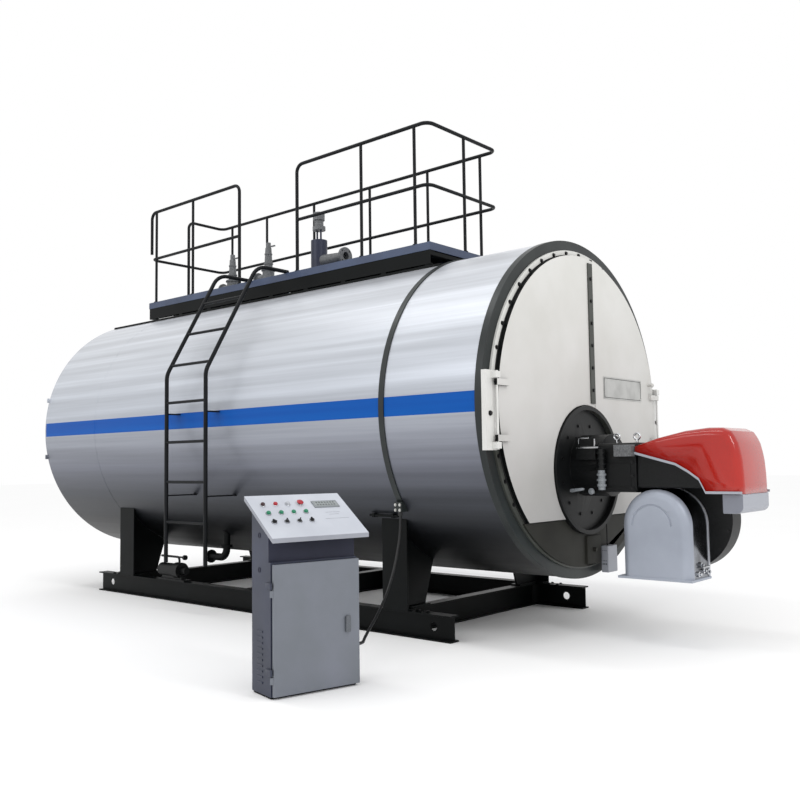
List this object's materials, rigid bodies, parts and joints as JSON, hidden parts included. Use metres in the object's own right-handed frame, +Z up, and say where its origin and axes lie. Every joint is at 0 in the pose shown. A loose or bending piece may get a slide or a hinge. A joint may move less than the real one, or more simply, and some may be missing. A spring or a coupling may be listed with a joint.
{
  "type": "industrial boiler",
  "caption": "Horizontal fire-tube steam boiler on a skid, with front burner, two-leaf smokebox door, top walkway, ladder, valves and a control cabinet.",
  "frame": {"origin": "on the floor, at the middle of the skid, under the middle cross-beam", "axes": "+X along the boiler axis towards the burner, +Z up, -Y towards the ladder and the control cabinet"},
  "size_m": [6.737, 3.8537, 3.8455],
  "materials": {
    "silver_cladding": "satin",
    "grey_paint": "satin",
    "black_paint": "satin",
    "cream_paint": "satin",
    "dark_paint": "satin",
    "bare_plate": "satin",
    "black_cast": "satin",
    "red_paint": "gloss",
    "pale_moulding": "matte",
    "polished_steel": "polished",
    "blue_grey_paint": "satin",
    "pale_blue_paint": "satin",
    "cabinet_paint": "satin",
    "dark_plastic": "matte",
    "cable_sheath": "matte"
  },
  "bodies": {
    "boiler": {"shell_cladding": "silver_cladding", "rear_plate": "silver_cladding", "rear_cover": "grey_paint", "end_ring": "black_paint", "top_bearers": "black_paint", "strap_band": "black_paint", "side_conduit": "black_paint", "front_plate": "cream_paint", "door_hinges": "cream_paint", "lower_plate": "dark_paint", "burner_rim": "dark_paint", "burner_body": "black_cast", "burner_hood": "red_paint", "hood_trim": "grey_paint", "hood_nose": "pale_moulding", "fan_casing": "black_cast", "air_box": "polished_steel", "burner_controls": "grey_paint", "burner_bracket": "polished_steel", "lifting_eyes": "polished_steel", "level_box": "pale_moulding", "long_beams": "black_paint", "cross_beams": "black_paint", "saddles": "black_paint", "feed_pump": "grey_paint", "drain_pipe": "black_paint", "deck_plate": "blue_grey_paint", "deck_edge": "blue_grey_paint", "deck_frame": "black_paint", "deck_members": "black_paint", "railing_posts": "black_paint", "railing_bars": "black_paint", "railing_elbows": "black_paint", "ladder_stiles": "black_paint", "ladder_rungs": "black_paint", "ladder_arms": "black_paint", "safety_valve_rear": "grey_paint", "manhole": "pale_blue_paint", "safety_valve_front": "grey_paint", "steam_valve": "blue_grey_paint", "steam_outlet": "grey_paint", "cabinet_body": "cabinet_paint", "cabinet_console": "cabinet_paint", "cabinet_controls": "dark_plastic", "cable_glands": "dark_plastic", "control_cable": "cable_sheath"},
    "near_leaf": {"door_near": "cream_paint", "door_strip": "dark_paint"},
    "far_leaf": {"door_far": "cream_paint", "nameplate": "bare_plate"},
    "cabinet_leaf": {"cabinet_door": "cabinet_paint"}
  },
  "joints": [
    {"name": "near_leaf_hinge", "type": "hinge", "parent": "boiler", "child": "near_leaf", "pos_m": [2.744, -1.125, 1.526], "axis": [0, 0, -1], "range_deg": [0, 110]},
    {"name": "far_leaf_hinge", "type": "hinge", "parent": "boiler", "child": "far_leaf", "pos_m": [2.744, 1.125, 1.526], "axis": [0, 0, 1], "range_deg": [0, 110]},
    {"name": "cabinet_door_hinge", "type": "hinge", "parent": "boiler", "child": "cabinet_leaf", "pos_m": [2.34482, -2.61897, 0.35], "axis": [0, 0, -1], "range_deg": [0, 115]}
  ]
}
